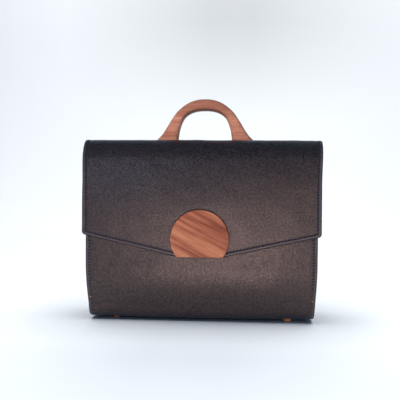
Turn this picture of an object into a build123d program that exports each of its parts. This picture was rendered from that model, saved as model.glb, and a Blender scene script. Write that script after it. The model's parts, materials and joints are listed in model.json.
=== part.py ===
"""Flap satchel with a wooden arch handle, as an assembly of its real pieces.

Frame: X is the width (+X is on the right when looking at the front), Y the
depth with the front towards -Y, Z up. The origin is the centre of the bag's
footprint, on the surface the feet stand on. Lengths are millimetres.

Side profiles are drawn in (depth, height), where depth 0 is the outer face of
the body's front panel. Every piece is shifted to the origin when it is saved.
"""

import os
from math import cos, radians, sin, sqrt

from build123d import *

# Body of the bag
BODY_WIDTH = 360.0
BODY_DEPTH = 116.0
FOOT_HEIGHT = 4.0
FRONT_TOP = 255.0  # top edge of the front panel
BACK_TOP = 254.0  # top edge of the back panel, below the flap's back curve
GUSSET_TOP = 268.0
GUSSET_TOP_RADIUS = 22.0
PROFILE_TOP = 300.0  # the body profile is drawn up to here, then trimmed
BELLY_RADIUS = 160.0  # slow curve low on the front
BELLY_ANGLE = 22.0
FRONT_BASE_RADIUS = 38.0
BACK_BASE_RADIUS = 35.0

# Sheet thicknesses, from the outside in
GLUE = 0.1  # left between glued layers
LEATHER = 2.4
FLANGE = 2.2
BOARD = 1.2
LINING = 1.0
FACING = 1.2
FACING_DROP = 30.0  # how far a facing reaches down inside the mouth

# Gussets and linings across the width
GUSSET_FACE = 178.2  # outer face of a gusset plate
GUSSET_PLATE = 2.2
FLANGE_INNER = 168.0
INNER_HALF_WIDTH = 167.8  # linings and boards between the flanges

# Base board and feet
BASE_BOARD_TOP = 9.7
FOOT_RADIUS = 7.0
FOOT_X = 138.0
FRONT_FOOT_DEPTH = 42.0
BACK_FOOT_DEPTH = 85.0
SCREW_RADIUS = 1.5
FOOT_SCREW_HEAD = 3.0
FOOT_SCREW_HEAD_HEIGHT = 1.1
HOLE_CLEARANCE = 0.05

# Flap
FLAP_WIDTH = 370.0
FLAP_TOP = 286.0
FLAP_GAP = 1.5  # between the body's front face and the flap
FLAP_LEATHER = 2.2
FLAP_LINING = 1.3
FLAP_FRONT_RADIUS = 31.0
FLAP_BACK_RADIUS = 30.0
FLAP_TAB_BOTTOM = 205.0  # lower edge of the part sewn to the back panel
FLAP_SIDE_END = 138.0  # the flap's sides end here and slope to the tip
FLAP_TIP = 105.0
FLAP_TIP_HALF_WIDTH = 37.0
FLAP_CORNER_RADIUS = 6.0
LINING_MARGIN = 9.0  # the flap lining stops this far inside the flap's edge
HINGE_GAP = 0.2  # each side of a fold line

# Closure disc
DISC_RADIUS = 45.0
DISC_CENTRE = 132.7
DISC_THICKNESS = 7.0
DISC_EDGE_RADIUS = 2.0
DISC_SCREW_X = 23.0
DISC_SCREW_Z = 124.0
DISC_SCREW_RADIUS = 1.4
DISC_SCREW_HEAD = 2.8
DISC_SCREW_DEPTH = 4.5  # how far a screw reaches into the disc
DISC_WASHER = 4.6

# Magnetic snap
MAGNET_RADIUS = 9.0
MAGNET_PROUD = 0.6

# Handle
HANDLE_CREST = 355.5
HANDLE_CREST_UNDERSIDE = 337.0
HANDLE_DEPTH = 25.0
HANDLE_EDGE_RADIUS = 8.0
HANDLE_FOOT = (44.2, 81.5)  # where a foot starts and ends across the width
HANDLE_SCREW_X = (52.0, 66.0)
HANDLE_SCREW_RADIUS = 1.8
HANDLE_SCREW_HEAD = 3.4
HANDLE_WASHER = 4.6
HANDLE_SCREW_DEPTH = 18.0
HANDLE_PLATE = 1.5
HANDLE_PLATE_HALF = (84.0, 11.0)

# Inside pocket
POCKET_HALF_WIDTH = 80.0
POCKET_BOTTOM = 110.0
POCKET_TOP = 212.0
POCKET_SPACE = 7.0
POCKET_SHEET = 1.2
BINDING_DROP = 12.0
BINDING_SHEET = 0.9

# Seam rivets
RIVET_X = 173.5
RIVET_Z = 38.5
RIVET_RADIUS = 0.7
RIVET_HEAD = 1.3
RIVET_HEAD_HEIGHT = 0.6
RIVET_GAP = 0.3  # under a head, where the leather is curved

# Worked out from the above
HALF_WIDTH = BODY_WIDTH / 2
FLAP_SHEET = FLAP_LEATHER + GLUE + FLAP_LINING
FLAP_FRONT = -FLAP_GAP - FLAP_SHEET  # depth of the flap's outer face
FLAP_BACK = BODY_DEPTH + FLAP_SHEET
DISC_BACK = FLAP_FRONT - GLUE
DISC_FRONT = DISC_BACK - DISC_THICKNESS
Y_SHIFT = -(DISC_FRONT + FLAP_BACK) / 2
LINING_INSET = LEATHER + GLUE + BOARD + GLUE
LINED = LINING_INSET + LINING  # inset of the lined inner face
BELLY_TOP = (
    FOOT_HEIGHT
    + FRONT_BASE_RADIUS * (1 - sin(radians(BELLY_ANGLE)))
    + BELLY_RADIUS * sin(radians(BELLY_ANGLE))
)
FRONT_BASE_START = BELLY_RADIUS * (1 - cos(radians(BELLY_ANGLE))) + (
    FRONT_BASE_RADIUS * cos(radians(BELLY_ANGLE))
)
BACK_BASE_START = BODY_DEPTH - BACK_BASE_RADIUS
HANDLE_CENTRE = -Y_SHIFT + 3.5  # depth of the handle's middle


def save(name, shape):
    """Write one piece, shifted so that the origin is the footprint's centre."""
    export_step(Pos(0, Y_SHIFT, 0) * shape, f"parts/{name}.step")


def span(x_range, y_range, z_range):
    """A box between two corners."""
    size = [high - low for low, high in (x_range, y_range, z_range)]
    centre = [(high + low) / 2 for low, high in (x_range, y_range, z_range)]
    return Pos(*centre) * Box(*size)


def across(face, half_width):
    """Extrude a (depth, height) face over the width, both ways."""
    return Pos(-half_width, 0, 0) * extrude(Plane.YZ * face, amount=2 * half_width)


def rod(radius, start, length, axis="Z"):
    """A cylinder from a start point along +Y or +Z."""
    turn = {"Z": Rot(0, 0, 0), "Y": Rot(-90, 0, 0)}[axis]
    lift = Pos(0, 0, length / 2)
    return Pos(*start) * turn * lift * Cylinder(radius, length)


def body_face(inset):
    """The body's side profile, inset from its outer face."""
    top = PROFILE_TOP
    belly = BELLY_RADIUS - inset
    front = FRONT_BASE_RADIUS - inset
    back = BACK_BASE_RADIUS - inset
    belly_arc = CenterArc((BELLY_RADIUS, BELLY_TOP), belly, 180, BELLY_ANGLE)
    front_centre = (FRONT_BASE_START, FOOT_HEIGHT + FRONT_BASE_RADIUS)
    front_arc = CenterArc(front_centre, front, 180 + BELLY_ANGLE, 90 - BELLY_ANGLE)
    back_centre = (BACK_BASE_START, FOOT_HEIGHT + BACK_BASE_RADIUS)
    back_arc = CenterArc(back_centre, back, 270, 90)
    outline = [
        Line((inset, top), belly_arc @ 0),
        belly_arc,
        front_arc,
        Line(front_arc @ 1, back_arc @ 0),
        back_arc,
        Line(back_arc @ 1, (BODY_DEPTH - inset, top)),
        Line((BODY_DEPTH - inset, top), (inset, top)),
    ]
    return make_face(outline)


def body_core(inset, half_width=HALF_WIDTH):
    """Everything inside the body's profile at this inset."""
    return across(body_face(inset), half_width)


def body_layer(outer, inner, half_width):
    """A sheet that follows the body's profile between two insets."""
    return body_core(outer, half_width) - body_core(inner, half_width + 1)


def flap_face(inset):
    """The side profile inside the flap's outer face, inset from it."""
    front, back = FLAP_FRONT + inset, FLAP_BACK - inset
    top = FLAP_TOP - inset
    front_centre = (FLAP_FRONT + FLAP_FRONT_RADIUS, FLAP_TOP - FLAP_FRONT_RADIUS)
    back_centre = (FLAP_BACK - FLAP_BACK_RADIUS, FLAP_TOP - FLAP_BACK_RADIUS)
    front_arc = CenterArc(front_centre, FLAP_FRONT_RADIUS - inset, 180, -90)
    back_arc = CenterArc(back_centre, FLAP_BACK_RADIUS - inset, 90, -90)
    outline = [
        Line((front, 0), front_arc @ 0),
        front_arc,
        Line((front_centre[0], top), (back_centre[0], top)),
        back_arc,
        Line(back_arc @ 1, (back, 0)),
        Line((back, 0), (front, 0)),
    ]
    return make_face(outline)


def flap_layer(outer, inner, half_width):
    """A sheet that follows the flap's profile between two insets."""
    whole = across(flap_face(outer), half_width)
    return whole - across(flap_face(inner), half_width + 1)


def fold_point(side):
    """Where a fold line crosses the flap's outer face: halfway round a corner."""
    radius = FLAP_FRONT_RADIUS if side == "front" else FLAP_BACK_RADIUS
    reach = radius * (1 - sqrt(0.5))
    depth = FLAP_FRONT + reach if side == "front" else FLAP_BACK - reach
    return depth, FLAP_TOP - reach


def fold_side(side, which):
    """A large block on one side of a fold plane: 'above' it or 'below' it."""
    depth, height = fold_point(side)
    size = 600.0
    slope = -45 if side == "front" else 45
    offset = size / 2 + HINGE_GAP
    block = Pos(0, 0, offset if which == "above" else -offset) * Box(size, size, size)
    return Pos(0, depth, height) * Rot(slope, 0, 0) * block


def flap_outline(margin):
    """The flap's front outline as a cutter, pulled in by a margin."""
    half, tip = FLAP_WIDTH / 2 - margin, FLAP_TIP_HALF_WIDTH
    low, side = FLAP_TIP + margin, FLAP_SIDE_END + margin
    points = [(-half, 320), (-half, side), (-tip, low), (tip, low), (half, side), (half, 320)]
    face = make_face(Polyline(*points, close=True))
    lower = [v for v in face.vertices() if abs(v.Y - side) < 1e-6]
    return extrude(Plane.XZ * fillet(lower, FLAP_CORNER_RADIUS), amount=60, both=True)


def make_body_panels():
    """Front, base and back leather, with the rivet, screw and snap holes."""
    sheet = body_layer(0, LEATHER, HALF_WIDTH)
    seam = 0.1
    front_end, back_start = FRONT_BASE_START + 2, BACK_BASE_START - 2
    rivets = rivet_cores(RIVET_RADIUS + HOLE_CLEARANCE)
    screws = foot_screw_cores(SCREW_RADIUS + HOLE_CLEARANCE)
    snap = rod(MAGNET_RADIUS + HOLE_CLEARANCE, (0, -5, DISC_CENTRE), 12, "Y")
    wide = (-HALF_WIDTH - 1, HALF_WIDTH + 1)
    front = sheet & span(wide, (-1, front_end - seam), (0, FRONT_TOP))
    save("front_panel", front - rivets - screws - snap)
    base = sheet & span(wide, (front_end + seam, back_start - seam), (0, 20))
    save("base_panel", base)
    back = sheet & span(wide, (back_start + seam, BODY_DEPTH + 1), (0, BACK_TOP))
    save("back_panel", back - rivets - screws)


def gusset_trim(drop=0.0):
    """Rounds the top corners of a gusset."""
    depth = BODY_DEPTH
    outline = Rectangle(depth, 400, align=(Align.MIN, Align.MAX))
    radius = GUSSET_TOP_RADIUS - drop
    rounded = fillet(outline.vertices().group_by(Axis.Y)[-1], radius)
    return across(Pos(0, GUSSET_TOP - drop) * rounded, HALF_WIDTH + 1)


def make_gussets():
    """Side plates with a flange turned inwards along the body's profile."""
    outer = LEATHER + GLUE
    inner = outer + FLANGE
    rivets = rivet_cores(RIVET_RADIUS + HOLE_CLEARANCE)
    trim = gusset_trim()
    plates = body_core(outer, GUSSET_FACE) - body_core(0, GUSSET_FACE - GUSSET_PLATE)
    flange = body_layer(outer, inner, GUSSET_FACE) - body_core(0, FLANGE_INNER)
    front_limit = span((-200, 200), (-10, BODY_DEPTH / 2), (FRONT_TOP, 400))
    back_limit = span((-200, 200), (BODY_DEPTH / 2, 130), (BACK_TOP, 400))
    flange = flange - front_limit - back_limit
    pair = ((plates + flange) & trim) - rivets
    lining_face = GUSSET_FACE - GUSSET_PLATE - GLUE
    linings = body_core(inner + GLUE, lining_face) - body_core(0, lining_face - LINING)
    floor = span((-200, 200), (-10, 200), (0, BASE_BOARD_TOP + GLUE))
    linings = (linings & gusset_trim(3.0)) - floor
    for side, sign in (("left", -1), ("right", 1)):
        half = span(sorted((0, sign * 200)), (-10, 200), (0, 400))
        save(f"gusset_{side}", pair & half)
        save(f"gusset_lining_{side}", linings & half)


def make_boards():
    """Stiffeners glued inside the leather: front, back and base."""
    half = INNER_HALF_WIDTH - 1
    outer = LEATHER + GLUE
    front = span((-half, half), (outer, outer + BOARD), (BELLY_TOP + 3, FRONT_TOP - 4))
    front = front - rod(MAGNET_RADIUS + 0.5, (0, 0, DISC_CENTRE), 10, "Y")
    save("front_board", front)
    back_low = FOOT_HEIGHT + BACK_BASE_RADIUS + 3
    back_span = (BODY_DEPTH - outer - BOARD, BODY_DEPTH - outer)
    save("back_board", span((-half, half), back_span, (back_low, BACK_TOP - 4)))
    slab = span((-half, half), (0, BODY_DEPTH), (0, BASE_BOARD_TOP))
    base = body_core(outer, half) & slab
    heads = foot_screw_heads(FOOT_SCREW_HEAD + 0.3)
    save("base_board", base - foot_screw_cores(SCREW_RADIUS + HOLE_CLEARANCE) - heads)


def make_linings():
    """Fabric lining on the front, the back and the base."""
    half = INNER_HALF_WIDTH
    wide = (-half, half)
    floor = BASE_BOARD_TOP + GLUE
    sheet = body_layer(LINING_INSET, LINED, half)
    middle = BODY_DEPTH / 2
    save("front_lining", sheet & span(wide, (0, middle), (floor, FRONT_TOP - 2)))
    save("back_lining", sheet & span(wide, (middle, BODY_DEPTH), (floor, BACK_TOP - 2)))
    slab = span(wide, (0, BODY_DEPTH), (floor, floor + LINING))
    save("base_lining", slab & body_core(LINED + GLUE, half))


def make_facings():
    """Leather strips inside the mouth, over the linings' upper edges."""
    half = INNER_HALF_WIDTH - 0.5
    wide = (-half, half)
    front = LINED + GLUE
    strip = (FRONT_TOP - FACING_DROP, FRONT_TOP)
    save("front_facing", span(wide, (front, front + FACING), strip))
    back = BODY_DEPTH - LINED - GLUE
    strip = (BACK_TOP - FACING_DROP, BACK_TOP)
    save("back_facing", span(wide, (back - FACING, back), strip))


def make_pocket():
    """A slip pocket on the back lining, with a leather binding on its mouth."""
    back = BODY_DEPTH - LINED - GLUE
    front = back - POCKET_SPACE - POCKET_SHEET
    half = POCKET_HALF_WIDTH
    block = span((-half, half), (front, back), (POCKET_BOTTOM, POCKET_TOP))
    inside = span(
        (-half + POCKET_SHEET, half - POCKET_SHEET),
        (front + POCKET_SHEET, back + 1),
        (POCKET_BOTTOM + POCKET_SHEET, POCKET_TOP + 1),
    )
    save("slip_pocket", block - inside)
    face = front - GLUE
    strip = (POCKET_TOP - BINDING_DROP, POCKET_TOP)
    save("pocket_binding", span((-half, half), (face - BINDING_SHEET, face), strip))


def make_snap():
    """The two halves of the magnetic snap and the body half's back plate."""
    outer = LEATHER + GLUE
    proud = -MAGNET_PROUD
    save("body_magnet", rod(MAGNET_RADIUS, (0, proud, DISC_CENTRE), LEATHER - proud, "Y"))
    plate = rod(MAGNET_RADIUS, (0, outer, DISC_CENTRE), BOARD - 0.2, "Y")
    save("body_magnet_plate", plate)
    start = -FLAP_GAP - FLAP_LINING
    length = FLAP_LINING + MAGNET_PROUD
    save("flap_magnet", rod(MAGNET_RADIUS, (0, start, DISC_CENTRE), length, "Y"))


def foot_places():
    """Each foot's name with its place across and in depth."""
    for row, depth in (("front", FRONT_FOOT_DEPTH), ("back", BACK_FOOT_DEPTH)):
        for side, sign in (("left", -1), ("right", 1)):
            yield f"foot_{row}_{side}", sign * FOOT_X, depth


def foot_screw_cores(radius):
    """The shanks of the four foot screws."""
    low = FOOT_HEIGHT / 2 - 1
    top = BASE_BOARD_TOP - FOOT_SCREW_HEAD_HEIGHT / 2
    return Compound([rod(radius, (x, y, low), top - low) for _, x, y in foot_places()])


def foot_screw_heads(radius):
    """The heads of the four foot screws, sunk in the base board."""
    low = BASE_BOARD_TOP - FOOT_SCREW_HEAD_HEIGHT
    height = FOOT_SCREW_HEAD_HEIGHT
    return Compound([rod(radius, (x, y, low), height) for _, x, y in foot_places()])


def make_feet():
    """Turned wooden feet, cut to the curve of the leather, and their screws."""
    leather = body_core(-GLUE)
    screws = []
    for name, x, y in foot_places():
        foot = rod(FOOT_RADIUS, (x, y, 0), FOOT_HEIGHT + 8)
        foot = fillet(foot.edges().group_by(Axis.Z)[0], 1.5) - leather
        low = FOOT_HEIGHT / 2 - 1
        save(name, foot - rod(SCREW_RADIUS + HOLE_CLEARANCE, (x, y, low), 20))
        shank = rod(SCREW_RADIUS, (x, y, low), BASE_BOARD_TOP - 0.5 - low)
        head_low = BASE_BOARD_TOP - FOOT_SCREW_HEAD_HEIGHT
        head = rod(FOOT_SCREW_HEAD, (x, y, head_low), FOOT_SCREW_HEAD_HEIGHT - 0.05)
        screws.append(shank + head)
    save("foot_screws", Compound(screws))


def rivet_frames():
    """A frame on the leather for each seam rivet, with +Z pointing outwards."""
    angle = (BELLY_TOP - RIVET_Z) / BELLY_RADIUS
    slope = sqrt(1 - angle * angle)
    front_depth = BELLY_RADIUS * (1 - slope)
    drop = (FOOT_HEIGHT + BACK_BASE_RADIUS - RIVET_Z) / BACK_BASE_RADIUS
    level = sqrt(1 - drop * drop)
    back_depth = BACK_BASE_START + BACK_BASE_RADIUS * level
    for x in (-RIVET_X, RIVET_X):
        yield Plane((x, front_depth, RIVET_Z), x_dir=(1, 0, 0), z_dir=(0, -slope, -angle))
        yield Plane((x, back_depth, RIVET_Z), x_dir=(1, 0, 0), z_dir=(0, level, -drop))


def rivet_cores(radius):
    """The shanks of the seam rivets, through the panel and the flange."""
    length = LEATHER + FLANGE + 1.2
    shank = Pos(0, 0, 0.5 - length / 2) * Cylinder(radius, length)
    return Compound([place * shank for place in rivet_frames()])


def make_rivets():
    """Copper rivets at the lower ends of the side seams."""
    length = LEATHER + GLUE + FLANGE
    shank = Pos(0, 0, -length / 2) * Cylinder(RIVET_RADIUS, length + 1)
    middle = RIVET_GAP + RIVET_HEAD_HEIGHT / 2
    head = Pos(0, 0, middle) * Cylinder(RIVET_HEAD, RIVET_HEAD_HEIGHT)
    head = fillet(head.edges().group_by(Axis.Z)[-1], RIVET_HEAD_HEIGHT * 0.8)
    save("seam_rivets", Compound([place * (shank + head) for place in rivet_frames()]))


def make_flap():
    """The flap's leather and lining, in three lengths between the fold lines."""
    half = FLAP_WIDTH / 2
    leather = flap_layer(0, FLAP_LEATHER, half)
    lining = flap_layer(FLAP_LEATHER + GLUE, FLAP_SHEET, half - LINING_MARGIN)
    behind = span((-half, half), (BODY_DEPTH / 2, FLAP_BACK + 1), (FLAP_TAB_BOTTOM, FLAP_TOP))
    tab = behind & fold_side("back", "below")
    save("flap_rear_panel", leather & tab)
    save("flap_rear_lining", lining & tab)

    radius = HANDLE_SCREW_RADIUS + HOLE_CLEARANCE
    shanks = Compound([rod(radius, start, 20) for start in handle_screw_starts()])
    top = fold_side("back", "above") & fold_side("front", "above")
    save("flap_top_panel", (leather & top) - shanks)
    save("flap_top_lining", (lining & top) - shanks)

    front = span((-half, half), (FLAP_FRONT - 1, BODY_DEPTH / 2), (0, FLAP_TOP))
    front = front & fold_side("front", "below")
    radius = DISC_SCREW_RADIUS + HOLE_CLEARANCE
    places = disc_screw_places(DISC_FRONT)
    bolts = Compound([rod(radius, place, 20, "Y") for place in places])
    save("flap_front_panel", (leather & front & flap_outline(0)) - bolts)
    seats = Compound([rod(DISC_WASHER + 0.6, place, 20, "Y") for place in places])
    snap = rod(MAGNET_RADIUS + HOLE_CLEARANCE, (0, -20, DISC_CENTRE), 30, "Y")
    save("flap_front_lining", (lining & front & flap_outline(LINING_MARGIN)) - seats - snap)


def disc_screw_places(depth):
    """The axis of each disc screw, at a given depth."""
    return [(x, depth, DISC_SCREW_Z) for x in (-DISC_SCREW_X, DISC_SCREW_X)]


def make_disc():
    """The wooden closure disc, its screws and their washers."""
    circle = Pos(0, DISC_CENTRE) * Circle(DISC_RADIUS)
    keep = Pos(0, FLAP_TIP) * Rectangle(200, 200, align=(Align.CENTER, Align.MIN))
    disc = extrude(Plane.XZ * (circle & keep), amount=DISC_THICKNESS)
    disc = Pos(0, DISC_BACK, 0) * disc
    disc = fillet(disc.edges().group_by(Axis.Y)[0], DISC_EDGE_RADIUS)
    places = disc_screw_places(DISC_BACK - DISC_SCREW_DEPTH)
    radius = DISC_SCREW_RADIUS + HOLE_CLEARANCE
    holes = Compound([rod(radius, place, 10, "Y") for place in places])
    save("closure_disc", disc - holes)
    inside = -FLAP_GAP - FLAP_LINING
    washer = 0.5
    screws, washers = [], []
    for x, y, z in places:
        shank = rod(DISC_SCREW_RADIUS, (x, y, z), inside + washer + 0.3 - y, "Y")
        head = rod(DISC_SCREW_HEAD, (x, inside + washer, z), 0.8, "Y")
        screws.append(shank + head)
        ring = rod(DISC_WASHER, (x, inside, z), washer, "Y")
        washers.append(ring - rod(radius, (x, inside - 1, z), 3, "Y"))
    save("disc_screws", Compound(screws))
    save("disc_washers", Compound(washers))


def handle_screw_starts():
    """Where each handle screw's shank starts, under the plate."""
    low = FLAP_TOP - FLAP_SHEET - HANDLE_PLATE - 0.5
    for sign in (-1, 1):
        for x in HANDLE_SCREW_X:
            yield sign * x, HANDLE_CENTRE, low


def handle_sections():
    """Rounded sections along the arch, each between an inner and an outer point.

    The points are for the right half, from the foot up, as heights above the flap.
    """
    low = FLAP_TOP + GLUE
    foot_inner, foot_outer = HANDLE_FOOT
    pairs = [
        ((foot_inner, 0), (foot_outer, 0)),
        ((43.1, 9.0), (70.8, 11.0)),
        ((41.4, 19.0), (62.8, 23.0)),
        ((38.0, 30.0), (54.6, 36.5)),
        ((32.6, 39.8), (44.2, 50.4)),
        ((22.8, 46.9), (28.8, 62.4)),
        ((11.2, 50.2), (13.8, 68.1)),
    ]
    crest = ((0, HANDLE_CREST_UNDERSIDE - low), (0, HANDLE_CREST - low))
    left = [((-inner[0], inner[1]), (-outer[0], outer[1])) for inner, outer in reversed(pairs)]
    for inner, outer in [*pairs, crest, *left]:
        start = Vector(inner[0], 0, low + inner[1])
        end = Vector(outer[0], 0, low + outer[1])
        run = end - start
        place = Plane((start + end) / 2, x_dir=run, z_dir=run.cross(Vector(0, 1, 0)))
        radius = min(HANDLE_EDGE_RADIUS, run.length / 2 - 0.5)
        yield place * RectangleRounded(run.length, HANDLE_DEPTH, radius)


def make_handle():
    """The wooden handle with its plate, screws and washers under the flap."""
    arch = Pos(0, HANDLE_CENTRE, 0) * loft(list(handle_sections()))
    starts = list(handle_screw_starts())
    radius = HANDLE_SCREW_RADIUS + HOLE_CLEARANCE
    save("handle", arch - Compound([rod(radius, start, HANDLE_SCREW_DEPTH) for start in starts]))
    under = FLAP_TOP - FLAP_SHEET - GLUE
    half_x, half_y = HANDLE_PLATE_HALF
    plate = span(
        (-half_x, half_x),
        (HANDLE_CENTRE - half_y, HANDLE_CENTRE + half_y),
        (under - HANDLE_PLATE, under),
    )
    plate = fillet(plate.edges().filter_by(Axis.Z), 5)
    save("handle_plate", plate - Compound([rod(radius, start, 10) for start in starts]))
    washer = 0.6
    washers, screws = [], []
    for x, y, _ in starts:
        seat = under - HANDLE_PLATE - GLUE
        ring = rod(HANDLE_WASHER, (x, y, seat - washer), washer)
        washers.append(ring - rod(radius, (x, y, seat - 2), 4))
        head = rod(HANDLE_SCREW_HEAD, (x, y, seat - washer - 1.6), 1.5)
        shank = rod(HANDLE_SCREW_RADIUS, (x, y, seat - washer - 0.2), HANDLE_SCREW_DEPTH - 1)
        neck = rod(HANDLE_SCREW_RADIUS, (x, y, seat - washer - 0.3), 1)
        screws.append(head + neck + shank)
    save("handle_washers", Compound(washers))
    save("handle_screws", Compound(screws))


def main():
    os.makedirs("parts", exist_ok=True)
    make_body_panels()
    make_gussets()
    make_boards()
    make_linings()
    make_facings()
    make_pocket()
    make_snap()
    make_feet()
    make_rivets()
    make_flap()
    make_disc()
    make_handle()


main()
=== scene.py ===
"""The satchel's looks: soft leather, wood, thread and lining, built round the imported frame.

Outlines are worked out in millimetres, in the frame's axes, and turned into metres when
a mesh is made. The front is towards -Y. Surfaces are long sheets that follow a route in
the (y, z) plane: s is the distance along the route and d the distance to a free edge.
"""
import json
import math
import random

import bmesh
import bpy
import numpy as np
from mathutils import Matrix, Vector
from mathutils.kdtree import KDTree


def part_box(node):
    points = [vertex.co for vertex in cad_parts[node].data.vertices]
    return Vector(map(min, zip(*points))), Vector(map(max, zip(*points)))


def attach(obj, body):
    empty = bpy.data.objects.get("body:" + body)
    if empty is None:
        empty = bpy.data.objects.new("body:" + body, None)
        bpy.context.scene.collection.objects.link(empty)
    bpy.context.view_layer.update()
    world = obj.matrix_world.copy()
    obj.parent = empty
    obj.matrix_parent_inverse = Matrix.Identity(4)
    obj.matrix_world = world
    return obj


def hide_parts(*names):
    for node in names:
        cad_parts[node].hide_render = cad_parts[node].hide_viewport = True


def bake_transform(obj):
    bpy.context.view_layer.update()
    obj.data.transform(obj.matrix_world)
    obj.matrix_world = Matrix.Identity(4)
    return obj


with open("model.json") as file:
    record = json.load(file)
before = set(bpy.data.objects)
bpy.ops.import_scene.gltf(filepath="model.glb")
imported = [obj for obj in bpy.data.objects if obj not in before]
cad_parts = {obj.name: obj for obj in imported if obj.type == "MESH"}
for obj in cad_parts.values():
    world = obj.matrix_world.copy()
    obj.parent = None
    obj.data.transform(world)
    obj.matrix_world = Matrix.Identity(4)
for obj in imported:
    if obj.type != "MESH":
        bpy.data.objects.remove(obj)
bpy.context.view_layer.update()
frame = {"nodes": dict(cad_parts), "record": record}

MM = 0.001
SHARP_ANGLE = math.radians(42)


def box_mm(node):
    """A CAD node's lowest and highest corners, in millimetres."""
    low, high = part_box(node)
    return np.array(low) / MM, np.array(high) / MM


# ---------------------------------------------------------------- sizes, in mm

FLAP_LOW, FLAP_HIGH = box_mm("flap_front_panel")
FLAP_HALF = FLAP_HIGH[0]
FLAP_FRONT = FLAP_LOW[1]
FLAP_TIP = FLAP_LOW[2]
FLAP_TOP = box_mm("flap_top_panel")[1][2]
TAB_LOW, TAB_HIGH = box_mm("flap_rear_panel")
FLAP_BACK = TAB_HIGH[1]
FLAP_FRONT_RADIUS = 31.0
FLAP_BACK_RADIUS = 30.0
FLAP_TIP_HALF = 37.0
FLAP_SIDE_RISE = 33.0  # from the tip to the end of a side
FLAP_CORNER = 6.0
FLAP_LEATHER = 2.2
FLAP_LINING_INSET = 2.3
FLAP_LINING = 1.3
FLAP_LINING_MARGIN = 9.0
FLAP_SLOPE = FLAP_SIDE_RISE / (FLAP_HALF - FLAP_TIP_HALF)
FLAP_STEEP = math.hypot(1, FLAP_SLOPE)  # a slanted edge's length per unit of width

BODY_LOW, BODY_HIGH = box_mm("front_panel")
BODY_FRONT = BODY_LOW[1]
BODY_BASE = BODY_LOW[2]
BODY_HALF = BODY_HIGH[0]
BODY_MOUTH = BODY_HIGH[2]
BODY_BACK = box_mm("back_panel")[1][1]
BACK_MOUTH = box_mm("back_panel")[1][2]
BELLY_RADIUS = 160.0
BELLY_ANGLE = 22.0
FRONT_BASE_RADIUS = 38.0
BACK_BASE_RADIUS = 35.0
BODY_LEATHER = 2.4
BODY_TAPER = 0.012  # how much narrower the base is, as a share of the width
TAPER_START, TAPER_END = 15, 95
GUSSET_TOP = box_mm("gusset_left")[1][2]
GUSSET_FACE = box_mm("gusset_right")[1][0]
GUSSET_TOP_RADIUS = 22.0
GUSSET_LEATHER = 2.2
RIVET_HEIGHT = 38.5
CLOTH = 1.0  # the thickness of the body's lining
LINING_HALF = 171.0
POCKET_BINDING = 0.9

HANDLE_LOW, HANDLE_HIGH = box_mm("handle")
HANDLE_MIDDLE = (HANDLE_LOW[1] + HANDLE_HIGH[1]) / 2
HANDLE_OFFSET = 2.6
DISC_LOW, DISC_HIGH = box_mm("closure_disc")
DISC_CENTRE = 132.7
DISC_RADIUS = 45.0
DISC_EDGE = 1.7  # the radius of its front edge

LEAN = 9.0
LEAN_START, LEAN_END = 178.0, 255.0
LEAN_FRONT, LEAN_BACK = -46, -5  # the lean fades out between these depths
SPREAD = 0.017  # as a share of the width
SPREAD_START, SPREAD_END = 212, 290
SHOULDER_RISE = 2.2
SHOULDER_START, SHOULDER_END = 262, 284
SHOULDER_TILT = 0.35  # how much more the shoulder rises at the left end, as a share

STITCH_PITCH = 4.9
STITCH_RADIUS = 0.6
STITCH_LIFT = 0.12  # how far the middle of a stitch is above the line it follows
STITCH_DIP = 0.62  # how far its ends go down from there
SEAM_BAR_HALF = 3.7
FLAP_STITCH_INSET = 5.6
BODY_STITCH_INSET = 5.3
FACING_STITCH_INSET = 3.6
SIDE_SEAM_END = 58.0


# ---------------------------------------------------------------- mesh helpers


def lean_back(points):
    """How the leather has set: it leans back and spreads towards the top, and the shoulder is full."""
    x, y, z = points[:, 0], points[:, 1], points[:, 2]
    run = LEAN_END - LEAN_START
    rise = np.clip((z - LEAN_START) / run, 0, 1)
    past = np.clip(z - LEAN_END, 0, FLAP_FRONT_RADIUS)
    past = past - past**2 / (2 * FLAP_FRONT_RADIUS)
    near_front = 1 - ramp(y, LEAN_FRONT, LEAN_BACK)
    lean = LEAN * (rise**2 + 2 * past / run) * near_front
    spread = SPREAD * x * ramp(z, SPREAD_START, SPREAD_END)
    tilt = 1 - SHOULDER_TILT * x / FLAP_HALF
    full = SHOULDER_RISE * tilt * ramp(z, SHOULDER_START, SHOULDER_END) * near_front
    return points + np.stack([spread, lean, full], -1)


def before_spread(points):
    """Where points were across the width before lean_back spread them."""
    return points[:, 0] / (1 + SPREAD * ramp(points[:, 2], SPREAD_START, SPREAD_END))


def add_to_scene(name, data):
    """An object made from a mesh, a light or a camera."""
    obj = bpy.data.objects.new(name, data)
    bpy.context.scene.collection.objects.link(obj)
    return obj


def shade_smooth(mesh):
    for polygon in mesh.polygons:
        polygon.use_smooth = True


def add_object(name, points_mm, faces, material, soft=False):
    """A mesh object from points in millimetres, closed and with outward normals."""
    mesh = bpy.data.meshes.new(name)
    points_mm = np.asarray(points_mm, float)
    if soft:
        points_mm = lean_back(points_mm)
    mesh.from_pydata([tuple(p) for p in points_mm * MM], [], faces)
    made = bmesh.new()
    made.from_mesh(mesh)
    bmesh.ops.remove_doubles(made, verts=made.verts, dist=2e-6)
    bmesh.ops.dissolve_degenerate(made, edges=made.edges, dist=1e-6)
    bmesh.ops.recalc_face_normals(made, faces=made.faces)
    made.to_mesh(mesh)
    made.free()
    shade_smooth(mesh)
    mesh.set_sharp_from_angle(angle=SHARP_ANGLE)
    mesh.materials.append(material)
    return add_to_scene(name, mesh)


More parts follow.
